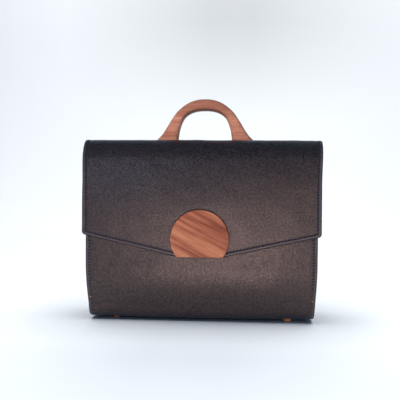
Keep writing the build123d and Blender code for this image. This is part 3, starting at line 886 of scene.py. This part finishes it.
def make_body():
    """The body's leather, from the front mouth down, under and up the back, and its seam bars."""
    length = BODY_ROUTE.length
    x, s = np.meshgrid(width_columns(BODY_HALF), bordered(length))
    d = np.minimum(BODY_HALF - np.abs(x), np.minimum(s, length - s))
    relief = body_relief(x, s)
    _, z, _, _ = BODY_ROUTE.at(s)
    pressed = 0.25 + 0.75 * ramp(z, RIVET_HEIGHT - 10, RIVET_HEIGHT + 2)
    top = relief + seam_relief(d, BODY_STITCH_INSET) * pressed
    across = body_taper(x, z)
    shell = build_sheet("body_leather", BODY_ROUTE, across, s, d, BODY_LEATHER, top, relief, LEATHER)

    def distance(points):
        side = BODY_HALF - np.abs(before_spread(points)) / width_share(points[:, 2])
        mouth = np.where(points[:, 1] < 0, BODY_MOUTH, BACK_MOUTH) - points[:, 2]
        return np.minimum(side, mouth)

    # How much painted shade the stitch groove gets: less below where the side seam bars end.
    def darkness(points):
        return 0.25 + 0.4 * ramp(points[:, 2], SIDE_SEAM_END - 6, SIDE_SEAM_END)

    paint_wear_sheen_and_shade(shell, distance, BODY_STITCH_INSET, 3.2, darkness)
    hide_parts("front_panel", "base_panel", "back_panel")
    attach(shell, "bag")

    lines = []
    walk = np.arange(0.0, length, 1.0)
    y, z, _, _ = BODY_ROUTE.at(walk)
    for wall in (y < 0, y > 0):
        keep = walk[wall & (z > SIDE_SEAM_END) & (z < BODY_MOUTH - 6)]
        for place in np.arange(keep[0], keep[-1], STITCH_PITCH):
            for sign in (-1, 1):
                bar = np.linspace(-SEAM_BAR_HALF, SEAM_BAR_HALF, 9)
                x = sign * (BODY_HALF - BODY_STITCH_INSET + bar)
                s = place + 0 * x
                _, height, _, _ = BODY_ROUTE.at(s)
                top = body_relief(x, s) - 0.3
                lines.append(on_route(BODY_ROUTE, body_taper(x, height), s, top))
    thread = build_stitches("body_stitches", lines, PALE_THREAD, 0.8, pitch=20, share=0.98, slant=0)
    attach(thread, "bag")


def body_depths(height, inset):
    """Front and back y of the body's side profile at a height, inset from its outside."""
    height = np.asarray(height, float)
    front = np.full_like(height, BODY_FRONT + inset)
    drop = BELLY_HEIGHT - height
    radius = BELLY_RADIUS - inset
    belly = BODY_FRONT + BELLY_RADIUS - np.sqrt(np.maximum(radius**2 - drop**2, 0))
    front = np.where(drop > 0, belly, front)
    switch = BODY_BASE + FRONT_BASE_RADIUS - (FRONT_BASE_RADIUS - inset) * math.sin(_turn)
    low = BODY_BASE + FRONT_BASE_RADIUS - height
    base = FRONT_BASE_Y - np.sqrt(np.maximum((FRONT_BASE_RADIUS - inset) ** 2 - low**2, 0))
    front = np.where(height < switch, base, front)
    low = BODY_BASE + BACK_BASE_RADIUS - height
    curve = BACK_BASE_Y + np.sqrt(np.maximum((BACK_BASE_RADIUS - inset) ** 2 - low**2, 0))
    back = np.where(low > 0, curve, BODY_BACK - inset)
    return front, back


def gusset_grid(inset, top, radius):
    """A (y, z) grid over a gusset's outline, and its distances to the edge."""
    low = BODY_BASE + inset
    rise = np.array([0, 0.08, 0.25, 0.5, 0.8, 1.15, 1.8, 2.7, 3.6, 4.6, 6.0, 8.0, 10.5])
    even = spaced(low + PAST_BORDER, top - PAST_BORDER, 3.0)
    heights = np.concatenate([low + rise, even, (top - rise)[::-1]])
    front, back = body_depths(heights, inset)
    corner = np.maximum(heights - (top - radius), 0)
    pull = radius - np.sqrt(np.maximum(radius**2 - corner**2, 0))
    front, back = front + pull, back - pull
    depth = 120  # roughly the gusset's depth from front to back
    even = np.linspace(PAST_BORDER / depth, 1 - PAST_BORDER / depth, 34)
    share = np.concatenate([rise / depth, even, 1 - rise[::-1] / depth])
    y = front[:, None] + (back - front)[:, None] * share
    z = np.repeat(heights[:, None], len(share), axis=1)
    return y, z, edge_distances(y, z, front, back, heights, low, top)


def edge_distances(y, z, front, back, heights, low, top):
    """Distances from grid points to the closed outline given by front and back."""
    outline = np.concatenate([
        np.stack([front, heights], -1),
        np.stack([back, heights], -1),
        np.stack([np.linspace(front[0], back[0], 30), np.full(30, low)], -1),
        np.stack([np.linspace(front[-1], back[-1], 60), np.full(60, top)], -1),
    ])
    flat = np.stack([y.ravel(), z.ravel()], -1)
    best = np.full(len(flat), 1e9)
    for start in range(0, len(outline), 40):
        part = outline[start : start + 40]
        gaps = np.hypot(flat[:, None, 0] - part[None, :, 0], flat[:, None, 1] - part[None, :, 1])
        best = np.minimum(best, gaps.min(axis=1))
    d = best.reshape(y.shape)
    d[0, :] = d[-1, :] = d[:, 0] = d[:, -1] = 0
    return d


def gusset_face(y, z, d):
    """How far out a gusset's face is: it tapers as the body does and has a soft inward fold."""
    middle = (BODY_FRONT + BODY_BACK) / 2 + 4
    fold = -4.2 * bump(y, middle, 20) * ramp(z, 60, 240) * ramp(d, 2, 20)
    fullness = 0.5 * waves(41, y, z, 110, 45) * ramp(d, 4, 25)
    taper = GUSSET_FACE - body_taper(np.full_like(z, GUSSET_FACE), z)
    return GUSSET_FACE - taper + fold + fullness


def make_gusset(side, sign):
    """A side: leather rolled into the body along its edge, and its lining."""
    y, z, d = gusset_grid(BODY_LEATHER + 0.1, GUSSET_TOP, GUSSET_TOP_RADIUS)
    roll = -2.6 * (1 - ramp(d, 0, 5.0)) * (1 - ramp(z, GUSSET_TOP - 14, GUSSET_TOP - 4))
    turn = edge_round(d, GUSSET_LEATHER)
    face = gusset_face(y, z, d) + roll
    outer = np.stack([sign * (face - turn + seam_relief(d, 6.0, 0.3)), y, z], -1)
    inner = np.stack([sign * (face - GUSSET_LEATHER + turn), y, z], -1)
    skin = add_sheet(f"gusset_leather_{side}", outer, inner, LEATHER)
    paint_edges(skin, np.zeros(len(skin.data.vertices)))
    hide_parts(f"gusset_{side}")
    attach(skin, "bag")

    y, z, d = gusset_grid(BODY_LEATHER + 2.6, GUSSET_TOP - 3, GUSSET_TOP_RADIUS - 3)
    face = gusset_face(y, z, d) - GUSSET_LEATHER - 0.3
    turn = edge_round(d, CLOTH)
    outer = np.stack([sign * (face - turn), y, z], -1)
    inner = np.stack([sign * (face - CLOTH + turn), y, z], -1)
    cloth = add_sheet(f"gusset_lining_cloth_{side}", outer, inner, LINING)
    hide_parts(f"gusset_lining_{side}")
    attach(cloth, "bag")


def make_lining():
    """The bag's cloth lining as one sheet down the front, over the base board and up the back."""
    floor = box_mm("base_lining")[0][2]
    inset = box_mm("front_lining")[0][1] - BODY_FRONT
    length = BODY_ROUTE.length
    x, s = np.meshgrid(width_columns(LINING_HALF, 4.0), spaced(3, length - 3, 3.0))
    d = LINING_HALF - np.abs(x)
    _, z, _, _ = BODY_ROUTE.at(s)
    ripple = -np.abs(0.25 * waves(51, x, s, 90, 30)) * ramp(z, 20, 60)
    relief = ripple - inset
    across = body_taper(x, z)
    lining = build_sheet("bag_lining", BODY_ROUTE, across, s, d, CLOTH, relief, relief, LINING, floor)
    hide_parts("front_lining", "back_lining", "base_lining")
    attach(lining, "bag")


def make_front_board():
    """The stiffener behind the front leather, which leans back with it."""
    low, high = box_mm("front_board")
    inset = low[1] - BODY_FRONT
    top = BODY_MOUTH - high[2]
    turn = math.asin((BELLY_HEIGHT - low[2]) / (BELLY_RADIUS - inset))
    bottom = BODY_ROUTE.lengths[0] + BELLY_RADIUS * turn
    x, s = np.meshgrid(np.linspace(low[0], high[0], 60), spaced(top, bottom, 3.0))
    thickness = min(high[1] - low[1], 1.2)
    square = np.full_like(x, NOT_ROUNDED)
    board = build_sheet("front_board_sheet", BODY_ROUTE, x, s, square, thickness, -inset, -inset, BOARD)
    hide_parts("front_board")
    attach(board, "bag")


def make_facings():
    """Leather strips inside the mouth, stitched along their lower edge."""
    for word, front in (("front", True), ("back", False)):
        low, high = box_mm(f"{word}_facing")
        if front:
            route = Route(("line", (high[1], low[2]), (high[1], high[2])))
        else:
            route = Route(("line", (low[1], high[2]), (low[1], low[2])))
        length = route.length
        x, s = np.meshgrid(width_columns(high[0]), bordered(length, BORDER[:-1], 11))
        d = np.minimum(high[0] - np.abs(x), np.minimum(s, length - s))
        thickness = high[1] - low[1]
        top = seam_relief(d, FACING_STITCH_INSET, 0.25) + 0.05 * waves(61, x, s, 60, 20)
        name = f"{word}_facing_leather"
        strip = build_sheet(name, route, x, s, d, thickness, top, 0 * x, FACING_LEATHER)
        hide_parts(f"{word}_facing")
        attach(strip, "bag")
        walk = np.arange(-high[0] + 4, high[0] - 4, 1.0)
        seam = FACING_STITCH_INSET if front else length - FACING_STITCH_INSET
        line = on_route(route, walk, seam + 0 * walk, -0.1)
        thread = build_stitches(f"{word}_facing_stitches", [line], THREAD, radius=0.36, pitch=3.6)
        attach(thread, "bag")


def make_pocket():
    """A patch pocket whose mouth stands a little open, with its leather binding."""
    low, high = box_mm("slip_pocket")
    half = high[0]
    route = Route(("line", (high[1], high[2]), (high[1], low[2])))
    length = route.length
    depth = high[1] - low[1]
    columns = width_columns(half, 3.0)

    def lift(x, d, share=1.0):
        """How far the pocket stands off the bag's lining, most at its middle."""
        return 1.3 + (depth - 1.4) * ramp(d, 3, 22) * share * (1 - 0.35 * (x / half) ** 2)

    def relief(x, s, d):
        """The lift, most at the open mouth, with slow unevenness."""
        open_mouth = 0.55 + 0.45 * (1 - ramp(s, 0, length * 0.8))
        return lift(x, d, open_mouth) + 0.2 * waves(71, x, s, 70, 26) * ramp(d, 6, 20)

    rows = np.concatenate([spaced(0, length - PAST_BORDER, GRID_STEP), length - BORDER[::-1]])
    x, s = np.meshgrid(columns, rows)
    d = np.minimum(half - np.abs(x), length - s)
    face = relief(x, s, d)
    edge = np.minimum(d, NOT_ROUNDED)
    cloth = build_sheet("pocket_cloth", route, x, s, edge, CLOTH, face, face, LINING)
    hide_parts("slip_pocket")
    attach(cloth, "bag")

    low, high = box_mm("pocket_binding")
    drop = high[2] - low[2]
    x, s = np.meshgrid(columns, bordered(drop, np.array([0, 0.1, 0.3, 0.6, 1.0]), 1.6, 1.2))
    side = half - np.abs(x)
    face = relief(x, s, side) + POCKET_BINDING
    edge = np.minimum(side, np.minimum(s, drop - s))
    name = "pocket_binding_leather"
    binding = build_sheet(name, route, x, s, edge, POCKET_BINDING, face, face, FACING_LEATHER)
    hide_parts("pocket_binding")
    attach(binding, "bag")

    walk = np.arange(-half + 4, half - 4, 1.0)
    stands = lift(walk, half - np.abs(walk)) + 0.95
    lines = [on_route(route, walk, drop - 2.4 + 0 * walk, stands)]
    edge_walk = np.arange(drop + 2, length - 3, 1.0)
    for sign in (-1, 1):
        lines.append(on_route(route, sign * (half - 2.2) + 0 * edge_walk, edge_walk, 1.4))
    lines.append(on_route(route, walk, length - 2.2 + 0 * walk, 1.4))
    thread = build_stitches("pocket_stitches", lines, THREAD, radius=0.3, pitch=3.2)
    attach(thread, "bag")


# ---------------------------------------------------------------- wood and metal


# Half of the handle's outlines, as (x, height above the foot), from the right foot up.
HANDLE_INNER = [
    (44.2, 0), (43.1, 9), (41.4, 19), (38.0, 30), (32.6, 39.8), (22.8, 46.9), (11.2, 50.2),
]
HANDLE_OUTER = [
    (81.5, 0), (70.8, 11), (62.8, 23), (54.6, 36.5), (44.2, 50.4), (28.8, 62.4), (13.8, 68.1),
]
CREST_THICKNESS = 18.5


def smooth_arch(half, crest, count=113):
    """A Catmull-Rom curve up half an arch, through its crest and down the mirrored half."""
    marks = np.array(half + [(0, crest)] + [(-x, z) for x, z in half[::-1]], float)
    padded = np.vstack([2 * marks[0] - marks[1], marks, 2 * marks[-1] - marks[-2]])
    out = []
    for u in np.linspace(0, len(marks) - 1, count):
        i = min(int(u), len(marks) - 2)
        t = u - i
        p0, p1, p2, p3 = padded[i : i + 4]
        square = (2 * p0 - 5 * p1 + 4 * p2 - p3) * t * t
        cube = (3 * p1 - p0 - 3 * p2 + p3) * t**3
        out.append(0.5 * (2 * p1 + (p2 - p0) * t + square + cube))
    return out


def make_handle():
    """The arch handle: rounded sections along the arch, with fuller feet."""
    low = HANDLE_LOW[2]
    crest = HANDLE_HIGH[2] - low
    inside = smooth_arch(HANDLE_INNER, crest - CREST_THICKNESS)
    outside = smooth_arch(HANDLE_OUTER, crest)
    deep = np.array([0, (HANDLE_HIGH[1] - HANDLE_LOW[1]) / 2, 0])
    sides = 40
    points, painted_crest_shade = [], []
    for (xi, zi), (xo, zo) in zip(inside, outside):
        centre = np.array([(xi + xo) / 2 + HANDLE_OFFSET, HANDLE_MIDDLE, low + (zi + zo) / 2])
        reach = np.array([(xo - xi) / 2, 0, (zo - zi) / 2])
        foot = 1 - ramp((zi + zo) / 2, 0, 16)
        power = 2 / (3.6 + 0.8 * foot)
        depth = 0.93 + 0.07 * foot
        for j in range(sides):
            a = 2 * math.pi * j / sides
            c, n = math.cos(a), math.sin(a)
            u = math.copysign(abs(c) ** power, c)
            v = math.copysign(abs(n) ** power, n)
            points.append(centre + reach * u + deep * v * depth)
            # Painted shade: darker over the crest, most on its underside.
            painted_crest_shade.append(ramp(zi, 30, 45) * (0.44 + 0.7 * ramp(-u, 0.35, 0.9)))
    handle = add_object("wood_handle", points, tube_faces(len(inside), sides), HANDLE_WOOD)
    paint_edges(handle, nearest_values(handle, points, painted_crest_shade))
    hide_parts("handle")
    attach(handle, "flap_top")


def add_plate(name, outline, levels, material):
    """A plate from an outline: each level is (how far it is drawn in, y), from back to front."""
    centre = outline.mean(axis=0)
    away = outline - centre
    reach = np.linalg.norm(away, axis=1, keepdims=True)
    points = []
    for inset, y in levels:
        points += [(x, y, z) for x, z in centre + away * (1 - inset / reach)]
    return add_object(name, points, tube_faces(len(levels), len(outline)), material)


def make_disc():
    """The closure disc: a circle with a flat foot, its front edge rounded over."""
    flat = DISC_LOW[2]
    half_angle = math.acos((DISC_CENTRE - flat) / DISC_RADIUS)
    angles = np.linspace(-math.pi / 2 + half_angle, 1.5 * math.pi - half_angle, 120)
    arc = np.stack([DISC_RADIUS * np.cos(angles), DISC_CENTRE + DISC_RADIUS * np.sin(angles)], -1)
    run = np.linspace(arc[-1][0], arc[0][0], 30)[1:-1]
    foot = np.stack([run, np.full(len(run), flat)], -1)
    outline = np.concatenate([arc, foot])
    back, front = DISC_HIGH[1], DISC_LOW[1]
    levels = [(0.5, back), (0.0, back - 0.5)]
    for k in range(9):
        a = math.radians(90 * k / 8)
        levels.append((DISC_EDGE * (1 - math.cos(a)), front + DISC_EDGE * (1 - math.sin(a))))
    levels += [(6.0, front), (14.0, front), (26.0, front)]
    disc = add_plate("wood_disc", outline, levels, DISC_WOOD)
    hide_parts("closure_disc")
    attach(disc, "flap_front")


# A foot's outline from the sole up, as (how far it is drawn in, height).
FOOT_OUTLINE = (
    (1.6, 0), (0.9, 0.15), (0.3, 0.7), (0, 1.5), (0, 2.4), (0.25, 3.2), (0.9, 4.2), (1.2, 5.0),
)


def make_feet():
    """Turned wooden feet with a waist under the leather and a rounded sole."""
    sides = 40
    angles = [2 * math.pi * j / sides for j in range(sides)]
    for row in ("front", "back"):
        for side in ("left", "right"):
            low, high = box_mm(f"foot_{row}_{side}")
            x, y, _ = (low + high) / 2
            radius = (high[0] - low[0]) / 2
            levels = FOOT_OUTLINE + ((FOOT_OUTLINE[-1][0], high[2]),)
            points = [
                (x - (radius - inset) * math.sin(a), y + (radius - inset) * math.cos(a), height)
                for inset, height in levels for a in angles
            ]
            faces = tube_faces(len(levels), sides)
            foot = add_object(f"wood_foot_{row}_{side}", points, faces, FOOT_WOOD)
            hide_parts(f"foot_{row}_{side}")
            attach(foot, "bag")


def finish_cad_nodes():
    """Real materials on the CAD pieces that are shown as they are."""
    looks = {
        "steel": STEEL, "copper": COPPER, "board": BOARD,
        "wood": HANDLE_WOOD, "leather": LEATHER, "lining": LINING,
    }
    slots = {part["node"]: part["material_slot"] for part in frame["record"]["subparts"]}
    for name, obj in frame["nodes"].items():
        obj.data.materials.clear()
        obj.data.materials.append(looks[slots[name]])


# ---------------------------------------------------------------- stage, light and camera


CLOTH_DARK, CLOTH_LIGHT = (0.90, 0.89, 0.88), (0.96, 0.95, 0.93)
# Painted shadow on the floor under the bag.
PAINTED_SHADOW_UNDER_BAG = (0.73, 0.735, 0.735)
# Painted light: the floor is lighter towards the camera.
PAINTED_LIGHT_NEAR_CAMERA = (0.93, 0.92, 0.90)
# Painted shade high up on the wall behind the middle; the sides are the cloth's own colour.
PAINTED_SHADE_WALL_MIDDLE, WALL_SIDES = (0.70, 0.68, 0.65), (0.98, 0.95, 0.91)
SWEEP_HALF = 3500
SWEEP_FRONT, SWEEP_BEND, SWEEP_RADIUS, SWEEP_TOP = -2600, 900, 900, 3200


def stage_material():
    """Pale cloth with painted shadow under the bag, painted light towards the camera and painted shade
    high up behind its middle; the ends are in metres.
    """
    m = Shader("pale_cloth")
    cloth = m.ramp(m.noise(5, 3, 0.5), (0.3, CLOTH_DARK), (0.7, CLOTH_LIGHT))
    place = m.node("ShaderNodeSeparateXYZ", {"Vector": m.place}).outputs
    across = m.math("ABSOLUTE", place["X"])
    # Painted shadow under the bag.
    cloth = m.mix(m.stretch(across, 0.05, 0.30), PAINTED_SHADOW_UNDER_BAG, cloth)
    near = m.math("MULTIPLY", place["Y"], -1.0)
    # Painted light towards the camera.
    cloth = m.mix(m.stretch(near, 0.24, 0.60), cloth, PAINTED_LIGHT_NEAR_CAMERA)
    # Painted shade high up behind the middle.
    high = m.mix(m.stretch(across, 0.1, 0.8), PAINTED_SHADE_WALL_MIDDLE, WALL_SIDES)
    wall = m.mix(m.stretch(place["Z"], 0.5, 1.0), WALL_SIDES, high)
    cloth = m.mix(m.stretch(place["Z"], 0.0, 0.06), cloth, wall)
    return m.set(Base_Color=cloth, Roughness=0.9)


def make_stage():
    """A pale floor that curves up into a backdrop."""
    profile = [(SWEEP_FRONT, 0), (SWEEP_BEND, 0)]
    for k in range(1, 13):
        a = math.radians(90 * k / 12)
        out, up = SWEEP_RADIUS * math.sin(a), SWEEP_RADIUS * math.cos(a)
        profile.append((SWEEP_BEND + out, SWEEP_RADIUS - up))
    profile.append((SWEEP_BEND + SWEEP_RADIUS, SWEEP_TOP))
    points = [(x, y, z) for y, z in profile for x in (-SWEEP_HALF, SWEEP_HALF)]
    faces = [(2 * k, 2 * k + 1, 2 * k + 3, 2 * k + 2) for k in range(len(profile) - 1)]
    mesh = bpy.data.meshes.new("studio_sweep")
    mesh.from_pydata([tuple(v * MM for v in p) for p in points], [], faces)
    mesh.materials.append(stage_material())
    shade_smooth(mesh)
    floor = add_to_scene("studio_sweep", mesh)
    return floor


def area_light(name, place, target, size, power, colour, lit):
    """A lamp in metres and watts that points at target and lights only the pieces in lit."""
    light = bpy.data.lights.new(name, "AREA")
    light.shape = "RECTANGLE"
    light.size, light.size_y = size
    light.energy = power
    light.color = colour
    obj = add_to_scene(name, light)
    obj.location = place
    aim = Vector(target) - Vector(place)
    obj.rotation_euler = aim.to_track_quat("-Z", "Y").to_euler()
    receivers = bpy.data.collections.new(f"lit_by_{name}")
    for piece in lit:
        receivers.objects.link(piece)
    obj.light_linking.receiver_collection = receivers
    return obj


WORLD_COLOUR = (0.33, 0.62, 1.0)
WORLD_STRENGTH = 0.26


def make_world():
    """Dim, cool light from all round."""
    world = bpy.data.worlds.new("studio")
    bpy.context.scene.world = world
    world.use_nodes = True
    background = world.node_tree.nodes["Background"]
    background.inputs["Color"].default_value = (*WORLD_COLOUR, 1)
    background.inputs["Strength"].default_value = WORLD_STRENGTH


def make_lights(stage):
    """Three lamps that tint the leather, a soft front fill for the bag, and light for the stage."""
    bag = [obj for obj in bpy.context.scene.objects if obj.type == "MESH" and obj is not stage]
    leather = [obj for obj in bag if not obj.name.startswith("wood_")]
    lamps = (  # name, place, target, size, power, colour, what it lights
        ("low_front", (0.015, -0.56, 0.03), (0, 0, 0.09), (0.2, 0.04), 1.15, (1.0, 0.86, 0.80), leather),
        ("warm_right", (0.45, -1.0, 0.38), (0.1, 0, 0.24), (0.3, 0.4), 1.3, (1.0, 0.86, 0.82), leather),
        ("cool_left", (-0.5, -1.0, 0.6), (-0.1, 0, 0.24), (0.3, 0.4), 2.3, (0.55, 0.72, 1.0), leather),
        ("front_fill", (-0.45, -1.5, 0.75), (0, 0, 0.2), (0.7, 0.5), 20, (1.0, 0.95, 0.92), bag),
        ("stage_light", (0, -0.1, 2.4), (0, 0.3, 0), (3.0, 2.4), 82, (0.97, 0.985, 1.0), [stage]),
    )
    for lamp in lamps:
        obj = area_light(*lamp)
        obj.visible_glossy = obj.name != "front_fill"


CAMERA_PLACE = (0.0707, -0.9588, 0.2101)
CAMERA_LENS, CAMERA_SENSOR = 53.0, 36.0
CAMERA_LEFT, CAMERA_DOWN, CAMERA_ROLL = 4.5, 1.1, 0.46  # in degrees


def make_camera():
    """Held in front of the bag, a little to its right, and not quite level."""
    camera = bpy.data.cameras.new("camera")
    camera.sensor_width = CAMERA_SENSOR
    camera.lens = CAMERA_LENS
    obj = add_to_scene("camera", camera)
    turn = Matrix.Rotation(math.radians(CAMERA_LEFT), 3, "Z")
    turn = turn @ Matrix.Rotation(math.radians(90 - CAMERA_DOWN), 3, "X")
    turn = turn @ Matrix.Rotation(math.radians(CAMERA_ROLL), 3, "Z")
    obj.matrix_world = Matrix.Translation(CAMERA_PLACE) @ turn.to_4x4()
    bpy.context.scene.camera = obj


def main():
    """Builds the looks, then the stage, the light and the camera."""
    finish_cad_nodes()
    make_flap()
    make_body()
    make_gusset("left", -1)
    make_gusset("right", 1)
    make_lining()
    make_front_board()
    make_facings()
    make_pocket()
    make_handle()
    make_disc()
    make_feet()
    stage = make_stage()
    make_world()
    make_lights(stage)
    make_camera()
    bpy.context.scene.view_settings.view_transform = "Standard"


main()
